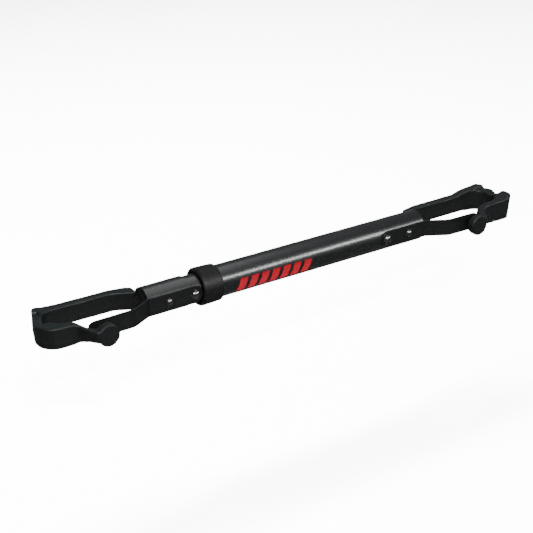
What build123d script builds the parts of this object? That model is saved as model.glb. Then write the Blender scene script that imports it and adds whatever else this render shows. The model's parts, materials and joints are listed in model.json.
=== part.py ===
"""Telescoping frame-adapter bar: two hooks on a sprung tube, each closed by a leaf gate.

Frame, millimetres: X runs along the bar, from the sliding hook to the fixed hook. Y points
from the gate side to the long arm side, and Z is up, square to the plane of the hooks. The
origin is the centre of the fixed hook's round seat. The bar is modelled fully closed.
"""
from build123d import *
import os
from dataclasses import dataclass


@dataclass
class Hook:
    """What differs between the two hooks. Distances s run outward from the tube end."""
    reach: float         # outermost point, at mid height
    lean: float          # slope of the hook's end, whose top reaches further than its foot
    wall: float          # thickness of the end at the foot
    bulge: float         # how much further the end reaches on the short arm's side
    near_round: float    # radius of the corner between the end and the short arm
    start: float         # where the rubber boot begins
    far_corner: float    # s of the corner between the long arm and the end
    corner_round: float
    end_y: float         # Y where that corner meets the end
    rise: float          # s where the long arm starts to get taller
    hump: float          # height of the long arm beyond that
    far_ear: float       # heights of the end's top edge: far ear, near ear and the dip between
    near_ear: float
    dip: float
    foot: float          # lower edge of the short arm
    near_full: float     # s where the short arm reaches its full height
    tab: float           # s of the tab's centre
    leaf_tip: float
    leaf_jog: float      # how far the leaf steps outward beyond its bend line


# Driving dimensions
TUBE_R = 15.875            # 1 1/4 inch main tube
TUBE_WALL = 1.2
INNER_R = 13.7             # sliding tube
INNER_WALL = 1.2
SLEEVE_R = 14.85           # sleeve on the sliding tube's hook end
SLEEVE_LENGTH = 43.5
RUNNING = 0.05             # radial clearance of each sliding fit
PRESSED = 0.02             # radial gap of the plugs, which are held by the rivets
SPAN = 327.5               # from one tube end to the other, closed
COLLAR_FROM_END = 57.2     # collar's front face, from the sliding tube's hook end
COLLAR_LENGTH = 22.0
COLLAR_LIP = 4.0
COLLAR_R = 19.0
COLLAR_BACK_R = 18.3
COLLAR_ROUNDS = (3.0, 1.0)     # of its front and back edges
MOUTH_FLARE = 1.8
MOUTH_DEPTH = 1.5
TAIL_FROM_END = 68.0       # tail of the sliding tube, from the main tube's hook end
GUIDE_LENGTH = 26.0
CLIP_WIDTH = 1.0
CLIP_GROOVE = 0.4
CLIP_PLAY = 0.1            # between the guide and each clip

SEAT_R = 17.5              # round seat inside each hook
FIXED_HOOK = Hook(
    reach=115.4, lean=0.155, wall=7.0, bulge=1.0, near_round=9.0, start=0.8, far_corner=111.5,
    corner_round=3.0, end_y=24.0, rise=74.5, hump=12.8, far_ear=12.8, near_ear=15.2, dip=8.8,
    foot=-11.0, near_full=81.0, tab=51.6, leaf_tip=60.9, leaf_jog=13.2)
SLIDING_HOOK = Hook(
    reach=110.0, lean=0.09, wall=11.0, bulge=6.6, near_round=17.0, start=4.2, far_corner=96.0,
    corner_round=6.0, end_y=13.0, rise=80.0, hump=10.5, far_ear=11.3, near_ear=11.5, dip=6.0,
    foot=-9.2, near_full=81.0, tab=56.0, leaf_tip=67.0, leaf_jog=11.6)
FOOT = 11.0                # depth below mid height at which the end's thickness is measured
BOOT_THICK = 7.5           # of the arms and the end, about the steel bar
ARM_HIGH = 9.4             # half height of the long arm
NECK_HIGH = 5.5            # half height of the neck between short arm and tab
NECK_FROM_TAB = 19.0
BOOT_GAP = 0.8             # the boot begins this far from the tube end
BOOT_ROOT_Y = (7.0, 20.6)  # what the boot covers beside the tube end
ARM_START_Y = (5.0, 21.5)  # the long arm's two faces, before they flare out
ARM_FLARE_Y = 31.0         # outermost Y of the long arm, at its end corner
NEAR_Y = -26.0             # outer face of the short arm
TAB_R = 10.6
TAB_IN_Y = -36.3
TAB_OUT_Y = -44.3
ARM_SPLIT_Y = -4.0         # the long arm's heights apply beyond this, the short arm's before it
CORE_THICK = 5.0
CORE_TALL = 8.0
TANG_Y = 8.9
TANG_LENGTH = 65.0

LEAF_THICK = 2.0
LEAF_TALL = 17.2
LEAF_PIVOT = 1.1           # bend line, beyond the tube end
LEAF_JOG_X = 22.0
LEAF_BEND_R = 14.0
ROOT_ROUND = LEAF_TALL / 2
FLAT_DEPTH = 1.85          # how far the flat is pressed into the tube
FLAT_MARGIN = 1.2          # how much wider than the leaf the flat is, on each side
ROOT_S = 48.0              # middle of the leaf's round inner end, in from the tube end
RIVET_LARGE_S = 49.3       # rivet places, in from the tube end
RIVET_SMALL_S = 21.0
RIVET_SHANK_R = 2.5
RIVET_LARGE_HEAD = (5.0, 3.0)   # radius and height of the domes
RIVET_SMALL_HEAD = (4.2, 2.6)

SPRING_R = 8.0
SPRING_WIRE_R = 1.0
SPRING_PITCH = 3.4
ANCHOR_PLACE = 60.5        # spring anchor's outer face, in from the tube end
PLUG_BACK = -60.0          # the plug's two faces, from the tube end
PLUG_FACE = -0.6
ANCHOR_DISC = 6.0
ANCHOR_DISC_R = 12.0
ANCHOR_NOSE = 14.0
PIN_R = 1.2
PIN_LENGTH = 15.0
PIN_INSET = 2.4            # pin's axis, in from the anchor's outer face

STRIPE_RISE = 0.12         # thickness of the printed film
STRIPES = 7
STRIPE_PITCH = 12.5
STRIPE_LEAN = 20.0         # degrees from upright
STRIPE_WIDTH = 8.0
STRIPE_HIGH = 3.5          # the bars' upper and lower edges, in Z
STRIPE_LOW = -9.5

# Places worked out from them
# X of the main tube's hook end, the sliding tube's hook end and the main tube's open end
FIXED_END = FIXED_HOOK.wall + SEAT_R + FIXED_HOOK.lean * FOOT - FIXED_HOOK.reach
SLIDING_END = FIXED_END - SPAN
COLLAR_FACE = SLIDING_END + COLLAR_FROM_END
MAIN_BACK = COLLAR_FACE + COLLAR_LIP
STRIPE_START = COLLAR_FACE + 44.0
STRIPE_MIDDLE = (STRIPE_LOW + STRIPE_HIGH) / 2
ALONG_X = Rotation(0, 90, 0)
TALL = 60.0                            # more than any height here


def rod(x0, x1, radius, y=0.0, z=0.0):
    """Round bar along X from x0 to x1."""
    return Pos((x0 + x1) / 2, y, z) * ALONG_X * Cylinder(radius, abs(x1 - x0))


def block(x0, x1, y0, y1, z0, z1):
    """Box between two corners."""
    return Pos((x0 + x1) / 2, (y0 + y1) / 2, (z0 + z1) / 2) * Box(
        abs(x1 - x0), abs(y1 - y0), abs(z1 - z0))


def place_end(shape, sliding):
    """Moves a part drawn outward from a tube end at X = 0 to its end of the bar."""
    if sliding:
        return Pos(SLIDING_END, 0, 0) * shape.mirror(Plane.YZ)
    return Pos(FIXED_END, 0, 0) * shape


def flat_cutter(y_flat, grow):
    """Space outside the pressed flat: a slot with a round inner end, open at the tube end."""
    radius = ROOT_ROUND + grow
    round_end = Pos(-ROOT_S, y_flat - 10, 0) * Rotation(90, 0, 0) * Cylinder(radius, 20)
    return round_end + block(-ROOT_S, 1, y_flat - 20, y_flat, -radius, radius)


def flattened_tube(length, outer, wall, y_flat):
    """Tube from X = -length to 0, its -Y side pressed flat near the end at X = 0."""
    skin = rod(-length, 0, outer) - flat_cutter(y_flat, FLAT_MARGIN)
    bore = rod(-length - 1, 1, outer - wall) - flat_cutter(y_flat + wall, FLAT_MARGIN + wall)
    return skin - bore


def rounded_face(corners):
    """Flat face with corners given as (point, radius), where radius 0 leaves a corner sharp."""
    face = make_face(Polyline([point for point, radius in corners], close=True))
    for point, radius in corners:
        if radius:
            spot = Vector(*point)
            corner = min(face.vertices(), key=lambda v: (v.center() - spot).length)
            face = fillet(corner, radius)
    return face


def seat_place(hook):
    """Distance s of the centre of the hook's round seat."""
    return hook.reach - hook.lean * FOOT - hook.wall - SEAT_R


def hook_outline(hook):
    """The hook's outline at mid height, from above. Its space between the arms stops short."""
    tab = hook.tab
    front = hook.start - 4
    neck = tab + NECK_FROM_TAB
    open_end = max(seat_place(hook) - 8, neck + 1)
    return rounded_face([
        ((front, ARM_START_Y[1]), 0), ((hook.start + 16, 26.3), 12), ((hook.far_corner - 22, 27.6), 25),
        ((hook.far_corner, ARM_FLARE_Y), hook.corner_round), ((hook.reach - hook.bulge, hook.end_y), 3),
        ((hook.reach, -2), 10), ((hook.reach, NEAR_Y), hook.near_round), ((tab + 22, NEAR_Y), 6),
        ((tab + 11, TAB_OUT_Y), 6), ((tab - TAB_R - 2, TAB_OUT_Y), 0),
        ((tab - TAB_R - 2, TAB_IN_Y), 0), ((tab + 7, TAB_IN_Y), 5),
        ((neck, -SEAT_R), 0), ((open_end, -SEAT_R), 0), ((open_end, SEAT_R), 0),
        ((hook.start + 18, 16.8), 12), ((front, ARM_START_Y[0]), 0),
    ])


def arm_heights(points, y0, y1):
    """Block from y0 to y1 whose height follows (s, lowest, highest) stations."""
    top = [(s, high) for s, low, high in points]
    bottom = [(s, low) for s, low, high in reversed(points)]
    side = Plane.XZ * make_face(Polyline(top + bottom, close=True))
    wide = extrude(side, TALL, both=True)
    return wide & block(points[0][0], points[-1][0], y0, y1, -TALL, TALL)


def boot_solid(hook):
    """Rubber boot as a closed solid, before the core's space is taken out."""
    reach = hook.reach
    tab = hook.tab
    seat = seat_place(hook)
    plan = extrude(hook_outline(hook), TALL, dir=(hook.lean, 0, 1), both=True)
    far = arm_heights([
        (hook.start, -ARM_HIGH, ARM_HIGH), (hook.rise, -ARM_HIGH, ARM_HIGH),
        (hook.rise + 8, -ARM_HIGH, hook.hump - 1), (hook.rise + 15, -10.5, hook.hump),
        (reach - 4, hook.foot, hook.far_ear), (reach + 5, hook.foot, hook.far_ear)],
        ARM_SPLIT_Y, TALL)
    near = arm_heights([
        (tab + 14, -NECK_HIGH, NECK_HIGH), (hook.near_full, hook.foot, 11), (reach - 18, hook.foot, 11.3),
        (reach - 9, hook.foot, max(11.3, hook.near_ear - 3)), (reach, hook.foot, hook.near_ear),
        (reach + 5, hook.foot, hook.near_ear)], -TALL, ARM_SPLIT_Y)
    disc = Pos(tab, NEAR_Y, -0.5) * Rotation(90, 0, 0) * Cylinder(TAB_R, 50)
    neck = block(tab, tab + 17, -TALL, 0, -NECK_HIGH, NECK_HIGH)
    boot = plan & (far + near + disc + neck)
    boot += block(BOOT_GAP, hook.start + 1, *BOOT_ROOT_Y, 0.3 - ARM_HIGH, ARM_HIGH - 0.3)
    valley = Plane.YZ * make_face(Polyline(
        [(22.5, TALL), (21, hook.dip + 1.5), (8, hook.dip + 3), (1, hook.dip),
         (-8, hook.dip + 3.5), (-17, TALL)], close=True))
    boot -= Pos(reach, 0, 0) * extrude(valley, 15, both=True)
    boot -= block(seat - 20, seat, -SEAT_R, SEAT_R, -TALL, TALL)
    return boot - Pos(seat, 0, 0) * Cylinder(SEAT_R, 2 * TALL)


def core_solid(hook):
    """Flat steel bar: tang in the tube, long arm, bend at the end, short arm and tab."""
    end = seat_place(hook) + SEAT_R + BOOT_THICK / 2
    far = SEAT_R + BOOT_THICK / 2 + 0.6
    near = -SEAT_R - BOOT_THICK / 2
    flat = (TAB_IN_Y + TAB_OUT_Y) / 2
    path = FilletPolyline([
        (-TANG_LENGTH, TANG_Y), (2.4, TANG_Y), (14, 20.5), (end - 40, far), (end, far),
        (end, near), (hook.tab + 20, near), (hook.tab + 9, flat), (hook.tab, flat)],
        radius=[5, 8, 40, 16, 16, 5, 5])
    bar = make_face(Wire(path.edges()).offset_2d(CORE_THICK / 2, side=Side.BOTH))
    return extrude(bar, CORE_TALL / 2, both=True)


def rivet(s, head_r, head_height, y_head, y_back):
    """Domed rivet through the tube along Y, with a low head set on the far side."""
    ball_r = (head_r ** 2 + head_height ** 2) / (2 * head_height)
    dome = Pos(0, 0, head_height - ball_r) * Sphere(ball_r)
    dome = dome & Pos(0, 0, head_height / 2) * Cylinder(head_r, head_height)
    shank_length = y_back - y_head + 0.4
    shank = Pos(0, 0, -shank_length / 2) * Cylinder(RIVET_SHANK_R, shank_length)
    foot = Pos(0, 0, -shank_length) * Cylinder(head_r * 0.85, 1.6)
    return Pos(-s, y_head, 0) * Rotation(90, 0, 0) * (dome + shank + foot)


def leaf_root(y_mid):
    """Riveted end of the spring-steel leaf, up to its bend line."""
    y0 = y_mid - LEAF_THICK / 2
    y1 = y_mid + LEAF_THICK / 2
    end = Pos(-ROOT_S, y_mid, 0) * Rotation(90, 0, 0) * Cylinder(ROOT_ROUND, LEAF_THICK)
    strip = block(-ROOT_S, LEAF_PIVOT - LEAF_THICK / 2 - 0.1, y0, y1, -ROOT_ROUND, ROOT_ROUND)
    return end + strip


def leaf_gate(y_mid, hook):
    """Free part of the leaf, which bends inward about the bend line."""
    tip = hook.leaf_tip
    y_tip = y_mid - hook.leaf_jog
    path = FilletPolyline([
        (LEAF_PIVOT, y_mid), (LEAF_JOG_X, y_tip), (tip, y_tip - 1)],
        radius=LEAF_BEND_R)
    strip = make_face(Wire(path.edges()).offset_2d(LEAF_THICK / 2, side=Side.BOTH))
    sheet = extrude(strip, LEAF_TALL / 2, both=True)
    tip_round = Pos(tip - 6, y_tip, 0) * Rotation(90, 0, 0) * Cylinder(ROOT_ROUND, 20)
    keep = block(LEAF_PIVOT - 3, tip - 6, -60, 60, -TALL, TALL) + tip_round
    return sheet & keep


def hook_plug(bore_r, y_flat_inside):
    """Insert that fills the tube end round the hook's tang."""
    plug = rod(PLUG_BACK, PLUG_FACE, bore_r - PRESSED)
    plug -= flat_cutter(y_flat_inside + PRESSED, bore_r)
    return plug


def spring_anchor():
    """Disc on the tang's inner end, with a nose that the spring's end coils grip."""
    disc = rod(-ANCHOR_PLACE - ANCHOR_DISC, -ANCHOR_PLACE, ANCHOR_DISC_R)
    nose = rod(-ANCHOR_PLACE - ANCHOR_DISC - ANCHOR_NOSE, -ANCHOR_PLACE - ANCHOR_DISC,
               SPRING_R - SPRING_WIRE_R - 0.1)
    return disc + nose


def anchor_pin():
    """Cross pin through the anchor and the tang."""
    return Pos(-ANCHOR_PLACE - PIN_INSET, TANG_Y, 0) * Cylinder(PIN_R, PIN_LENGTH)


def end_parts(prefix, sliding):
    """Everything at one end of the bar, drawn outward from X = 0, as node name to shape."""
    hook = SLIDING_HOOK if sliding else FIXED_HOOK
    tube_r = INNER_R if sliding else TUBE_R
    wall = INNER_WALL if sliding else TUBE_WALL
    skin_r = SLEEVE_R if sliding else TUBE_R
    length = SPAN - TAIL_FROM_END if sliding else FIXED_END - MAIN_BACK
    y_flat = FLAT_DEPTH - skin_r
    y_tube_flat = y_flat + skin_r - tube_r
    y_mid = y_flat - LEAF_THICK / 2
    large = rivet(RIVET_LARGE_S, *RIVET_LARGE_HEAD, y_flat - LEAF_THICK, tube_r)
    small = rivet(RIVET_SMALL_S, *RIVET_SMALL_HEAD, y_flat - LEAF_THICK, skin_r)
    core = core_solid(hook)
    pin = anchor_pin()
    shapes = {
        prefix + "_hook_core": core - large - small - pin,
        prefix + "_hook_boot": boot_solid(hook) - core,
        prefix + "_hook_plug": hook_plug(tube_r - wall, y_tube_flat + wall) - core - large - small,
        prefix + "_spring_anchor": spring_anchor() - core - pin,
        prefix + "_anchor_pin": pin,
        prefix + "_gate_root": leaf_root(y_mid) - large - small,
        prefix + "_gate_leaf": leaf_gate(y_mid, hook),
        prefix + "_rivet_large": large,
        prefix + "_rivet_small": small,
    }
    tube = flattened_tube(length, tube_r, wall, y_tube_flat) - large - small
    if sliding:
        shapes["inner_tube"] = tube - clip_grooves()
        sleeve = flattened_tube(SLEEVE_LENGTH, SLEEVE_R, SLEEVE_R - INNER_R, y_flat)
        shapes["end_sleeve"] = sleeve - large - small
    else:
        shapes["main_tube"] = tube
    return {name: place_end(shape, sliding) for name, shape in shapes.items()}


def clip_places():
    """Distances of the two clips' outer faces, from the sliding tube's hook end."""
    tail = TAIL_FROM_END - SPAN
    return [tail + 1, tail + 1 + CLIP_WIDTH + GUIDE_LENGTH + 2 * CLIP_PLAY]


def clip_grooves():
    """Two grooves round the tail of the sliding tube."""
    rings = [
        rod(x, x + CLIP_WIDTH, INNER_R + 1) - rod(x, x + CLIP_WIDTH, INNER_R - CLIP_GROOVE)
        for x in clip_places()]
    return rings[0] + rings[1]


def tail_clips():
    """Two retaining rings that keep the tail guide in place."""
    rings = [
        rod(x, x + CLIP_WIDTH, TUBE_R - TUBE_WALL - 0.3) - rod(x - 1, x + 3, INNER_R - CLIP_GROOVE)
        for x in clip_places()]
    return place_end(rings[0] + rings[1], True)


def tail_guide():
    """Wear ring round the sliding tube's tail, running in the main tube."""
    x = clip_places()[0] + CLIP_WIDTH + CLIP_PLAY
    ring = rod(x, x + GUIDE_LENGTH, TUBE_R - TUBE_WALL - RUNNING)
    return place_end(ring - rod(x - 1, x + GUIDE_LENGTH + 1, INNER_R + RUNNING), True)


def collar():
    """Moulded collar on the main tube's mouth; its lip guides the sliding tube."""
    back = COLLAR_FACE + COLLAR_LENGTH
    outside = Plane.XZ * make_face(FilletPolyline([
        (COLLAR_FACE, 0), (COLLAR_FACE, COLLAR_R), (back, COLLAR_BACK_R),
        (back, 0)], radius=list(COLLAR_ROUNDS), close=False)
        + Line((back, 0), (COLLAR_FACE, 0)))
    body = revolve(outside, Axis.X)
    body -= rod(COLLAR_FACE - 1, back, INNER_R + RUNNING)
    body -= Pos(COLLAR_FACE + MOUTH_DEPTH / 2, 0, 0) * ALONG_X * Cone(
        INNER_R + MOUTH_FLARE, INNER_R + RUNNING, MOUTH_DEPTH)
    return body - rod(MAIN_BACK, back + 1, TUBE_R)


def tension_spring():
    """Close-wound extension spring between the two anchors, inside the sliding tube."""
    grip = ANCHOR_PLACE + ANCHOR_DISC + SPRING_WIRE_R + 0.3
    x0 = SLIDING_END + grip
    length = FIXED_END - grip - x0
    helix = Helix(SPRING_PITCH, length, SPRING_R)
    section = Plane(origin=helix @ 0, z_dir=helix % 0) * Circle(SPRING_WIRE_R)
    return Pos(x0, 0, 0) * ALONG_X * sweep(section, path=helix, is_frenet=True)


def tube_stripes():
    """Plain slanted bars of printed film on the gate side of the main tube."""
    film = rod(COLLAR_FACE, FIXED_END, TUBE_R + STRIPE_RISE) - rod(COLLAR_FACE - 1, FIXED_END + 1, TUBE_R)
    bars = []
    for n in range(STRIPES):
        x = STRIPE_START + n * STRIPE_PITCH
        slant = Pos(x, -TUBE_R, STRIPE_MIDDLE) * Rotation(0, STRIPE_LEAN, 0) * Box(
            STRIPE_WIDTH, 2 * TUBE_R, 60)
        band = block(x - 30, x + 30, -2 * TUBE_R, 0, STRIPE_LOW, STRIPE_HIGH)
        bars.append(film & slant & band)
    return Compound(children=[solid for bar in bars for solid in bar.solids()])


def main():
    nodes = end_parts("fixed", False)
    nodes.update(end_parts("sliding", True))
    nodes["collar"] = collar()
    nodes["tail_guide"] = tail_guide()
    nodes["tail_clips"] = tail_clips()
    nodes["tension_spring"] = tension_spring()
    nodes["tube_stripes"] = tube_stripes()
    os.makedirs("parts", exist_ok=True)
    for name, shape in nodes.items():
        export_step(shape, f"parts/{name}.step")


main()
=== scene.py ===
"""Looks for the telescoping frame-adapter bar: soft rubber boots, eased edges, finishes and light."""

import json
import math

import bpy
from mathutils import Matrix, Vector


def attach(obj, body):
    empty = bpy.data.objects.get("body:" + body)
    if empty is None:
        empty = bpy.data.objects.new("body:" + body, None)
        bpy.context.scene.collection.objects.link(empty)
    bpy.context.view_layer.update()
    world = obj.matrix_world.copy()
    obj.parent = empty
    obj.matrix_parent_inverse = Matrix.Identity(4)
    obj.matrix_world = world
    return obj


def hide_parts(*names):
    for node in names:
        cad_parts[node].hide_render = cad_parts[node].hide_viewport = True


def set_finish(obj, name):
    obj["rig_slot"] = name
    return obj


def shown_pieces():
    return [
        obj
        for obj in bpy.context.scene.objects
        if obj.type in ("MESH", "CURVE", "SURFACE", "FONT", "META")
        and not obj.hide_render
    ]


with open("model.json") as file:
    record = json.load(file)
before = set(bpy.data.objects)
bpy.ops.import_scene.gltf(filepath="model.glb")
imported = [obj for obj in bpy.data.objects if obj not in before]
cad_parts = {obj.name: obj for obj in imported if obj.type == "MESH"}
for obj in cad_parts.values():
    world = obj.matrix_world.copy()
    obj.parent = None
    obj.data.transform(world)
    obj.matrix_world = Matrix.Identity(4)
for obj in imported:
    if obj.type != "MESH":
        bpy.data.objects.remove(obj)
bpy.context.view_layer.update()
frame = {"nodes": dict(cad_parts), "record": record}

NODES = frame["nodes"]
BODY_OF = {
    node: body
    for body, members in frame["record"]["behaviour"]["bodies"].items()
    for node in members
}
SLOT_OF = {part["node"]: part["material_slot"] for part in frame["record"]["subparts"]}

MM = 0.001
WELD_GAP = 0.002 * MM
BOOT_VOXEL = 0.9 * MM
BOOT_SMOOTHING = 8
SMOOTHING_SHARE = 0.5
EDGE_EASE = 0.35 * MM
EASE_SEGMENTS = 2
FLAT_ANGLE = math.radians(0.5)
SHARP_ANGLE = math.radians(40)
EASED_NODES = (
    "collar", "fixed_gate_root", "fixed_gate_leaf", "sliding_gate_root", "sliding_gate_leaf",
)
BOOTS = ("fixed_hook_boot", "sliding_hook_boot")

GRAIN_DETAIL = 4
GRAIN_STRENGTH = 0.5

CAMERA_PLACE = (-0.90299, -0.95640, 0.48977)
CAMERA_ANGLES = (66.847, 1.420, -33.863)
CAMERA_LENS = 85.55
CAMERA_SENSOR = 36
CAMERA_SHIFT = (-0.0031, -0.0019)
CAMERA_NEAR = 0.01
FLOOR_Z = -0.20
FLOOR_SIZE = 12
PAPER_COLOR = (0.95, 0.95, 0.95, 1)
PAPER_ROUGHNESS = 0.9
SKY_COLOR = (1, 1, 1, 1)
SKY_STRENGTH = 0.2
MIDDLE = Vector((-0.25, 0, 0))


def finish_material(name, color, roughness, grain_scale, grain_depth, **sockets):
    """Procedural finish: fine noise drives the roughness and a bump."""
    material = bpy.data.materials.new(name)
    material.use_nodes = True
    nodes = material.node_tree.nodes
    links = material.node_tree.links
    shader = nodes["Principled BSDF"]
    shader.inputs["Base Color"].default_value = (*color, 1)
    for socket, value in sockets.items():
        shader.inputs[socket.replace("_", " ")].default_value = value
    place = nodes.new("ShaderNodeTexCoord")
    noise = nodes.new("ShaderNodeTexNoise")
    noise.inputs["Scale"].default_value = grain_scale
    noise.inputs["Detail"].default_value = GRAIN_DETAIL
    spread = nodes.new("ShaderNodeMapRange")
    spread.inputs["To Min"].default_value = roughness[0]
    spread.inputs["To Max"].default_value = roughness[1]
    bump = nodes.new("ShaderNodeBump")
    bump.inputs["Strength"].default_value = GRAIN_STRENGTH
    bump.inputs["Distance"].default_value = grain_depth
    links.new(place.outputs["Object"], noise.inputs["Vector"])
    links.new(noise.outputs["Fac"], spread.inputs["Value"])
    links.new(spread.outputs["Result"], shader.inputs["Roughness"])
    links.new(noise.outputs["Fac"], bump.inputs["Height"])
    links.new(bump.outputs["Normal"], shader.inputs["Normal"])
    return material


def make_materials():
    """One finish for each material slot of the record."""
    return {
        "tube_paint": finish_material(
            "tube_paint", (0.0010, 0.0012, 0.0013), (0.25, 0.31), 1400, 0.01 * MM,
            Specular_IOR_Level=0.36),
        "collar_plastic": finish_material(
            "collar_plastic", (0.0010, 0.0010, 0.0011), (0.42, 0.54), 1800, 0.04 * MM,
            Specular_IOR_Level=0.1),
        "stripe_film": finish_material(
            "stripe_film", (0.062, 0.0, 0.0015), (0.3, 0.38), 900, 0.01 * MM,
            Specular_IOR_Level=0.04),
        "wear_plastic": finish_material(
            "wear_plastic", (0.75, 0.75, 0.72), (0.4, 0.5), 900, 0.02 * MM),
        "spring_steel": finish_material(
            "spring_steel", (0.55, 0.56, 0.58), (0.25, 0.4), 1500, 0.02 * MM, Metallic=1.0),
        "core_steel": finish_material(
            "core_steel", (0.002, 0.002, 0.0022), (0.35, 0.5), 1200, 0.02 * MM,
            Specular_IOR_Level=0.08),
        "boot_rubber": finish_material(
            "boot_rubber", (0.0010, 0.0013, 0.0013), (0.38, 0.5), 2200, 0.05 * MM,
            Specular_IOR_Level=0.12),
        "plug_plastic": finish_material(
            "plug_plastic", (0.0015, 0.0015, 0.0017), (0.45, 0.6), 1400, 0.04 * MM,
            Specular_IOR_Level=0.24),
        "gate_steel": finish_material(
            "gate_steel", (0.0010, 0.0012, 0.0013), (0.34, 0.44), 1600, 0.02 * MM,
            Specular_IOR_Level=0.14),
        "rivet_steel": finish_material(
            "rivet_steel", (0.0015, 0.0015, 0.0018), (0.12, 0.18), 900, 0.005 * MM,
            Specular_IOR_Level=0.9),
    }


def dress(obj, material):
    """Gives every material slot of obj this finish."""
    if not obj.material_slots:
        obj.data.materials.append(material)
    for place in obj.material_slots:
        place.material = material


def copy_of(node, suffix):
    """A free copy of a CAD node's mesh, with its split vertices joined again."""
    mesh = NODES[node].data.copy()
    piece = bpy.data.objects.new(f"{node}_{suffix}", mesh)
    bpy.context.scene.collection.objects.link(piece)
    weld = piece.modifiers.new("weld", "WELD")
    weld.merge_threshold = WELD_GAP
    return piece


def settle(piece):
    """Applies the modifiers of piece to its mesh."""
    graph = bpy.context.evaluated_depsgraph_get()
    graph.update()
    mesh = bpy.data.meshes.new_from_object(piece.evaluated_get(graph))
    piece.modifiers.clear()
    piece.data = mesh


def stand_for(piece, node):
    """The piece takes the place of its CAD node."""
    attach(piece, BODY_OF[node])
    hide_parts(node)
    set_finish(piece, SLOT_OF[node])


def make_boot(node):
    """Rubber boot with the soft edges of a moulded part."""
    piece = copy_of(node, "soft")
    remesh = piece.modifiers.new("remesh", "REMESH")
    remesh.mode = "VOXEL"
    remesh.voxel_size = BOOT_VOXEL
    remesh.use_smooth_shade = True
    smooth = piece.modifiers.new("smooth", "SMOOTH")
    smooth.factor = SMOOTHING_SHARE
    smooth.iterations = BOOT_SMOOTHING
    settle(piece)
    stand_for(piece, node)


def make_eased(node):
    """Hard part with its sharp edges eased, so that they catch the light."""
    piece = copy_of(node, "eased")
    flat = piece.modifiers.new("flat", "DECIMATE")
    flat.decimate_type = "DISSOLVE"
    flat.angle_limit = FLAT_ANGLE
    bevel = piece.modifiers.new("ease", "BEVEL")
    bevel.width = EDGE_EASE
    bevel.segments = EASE_SEGMENTS
    bevel.limit_method = "ANGLE"
    bevel.angle_limit = SHARP_ANGLE
    bevel.use_clamp_overlap = True
    settle(piece)
    piece.data.shade_smooth()
    weighted = piece.modifiers.new("weighted", "WEIGHTED_NORMAL")
    weighted.keep_sharp = True
    settle(piece)
    stand_for(piece, node)


def make_camera():
    """Camera at the photograph's viewing angle."""
    data = bpy.data.cameras.new("camera")
    data.lens = CAMERA_LENS
    data.sensor_width = CAMERA_SENSOR
    data.shift_x, data.shift_y = CAMERA_SHIFT
    data.clip_start = CAMERA_NEAR
    camera = bpy.data.objects.new("camera", data)
    camera.location = CAMERA_PLACE
    camera.rotation_euler = [math.radians(angle) for angle in CAMERA_ANGLES]
    bpy.context.scene.collection.objects.link(camera)
    bpy.context.scene.camera = camera


def make_light(name, place, size, power, mirrored=True):
    """Soft rectangular light that faces the bar. Reflections show it only if it is mirrored."""
    data = bpy.data.lights.new(name, "AREA")
    data.shape = "RECTANGLE"
    data.size, data.size_y = size
    data.energy = power
    light = bpy.data.objects.new(name, data)
    light.location = place
    light.rotation_euler = (MIDDLE - Vector(place)).to_track_quat("-Z", "Y").to_euler()
    light.visible_glossy = mirrored
    bpy.context.scene.collection.objects.link(light)


def make_lights():
    """A broad light for the floor, two long strips for the tube's streaks, a dot for the rivets."""
    make_light("key", (-0.4, 0.9, 2.4), (2.4, 1.0), 1150, mirrored=False)
    make_light("top", (0.4, -0.1, 1.7), (2.6, 0.3), 12)
    make_light("front", (0.5, -1.5, 0.84), (2.8, 0.12), 105)
    make_light("spark", (-1.0, -1.5, 1.2), (0.05, 0.05), 120)


def make_stage():
    """Plain pale floor, which no reflection shows, under an even pale sky."""
    bpy.ops.mesh.primitive_plane_add(size=FLOOR_SIZE, location=(MIDDLE.x, 0, FLOOR_Z))
    floor = bpy.context.object
    floor.name = "floor"
    paper = bpy.data.materials.new("paper")
    paper.use_nodes = True
    shader = paper.node_tree.nodes["Principled BSDF"]
    shader.inputs["Base Color"].default_value = PAPER_COLOR
    shader.inputs["Roughness"].default_value = PAPER_ROUGHNESS
    floor.data.materials.append(paper)
    floor.visible_glossy = False
    world = bpy.data.worlds.new("world")
    world.use_nodes = True
    sky = world.node_tree.nodes["Background"]
    sky.inputs["Color"].default_value = SKY_COLOR
    sky.inputs["Strength"].default_value = SKY_STRENGTH
    bpy.context.scene.world = world


MATERIALS = make_materials()
for boot in BOOTS:
    make_boot(boot)
for hard in EASED_NODES:
    make_eased(hard)
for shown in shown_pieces():
    slot_name = shown.get("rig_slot") or SLOT_OF[shown.name]
    dress(shown, MATERIALS[slot_name])

make_camera()
make_stage()
make_lights()
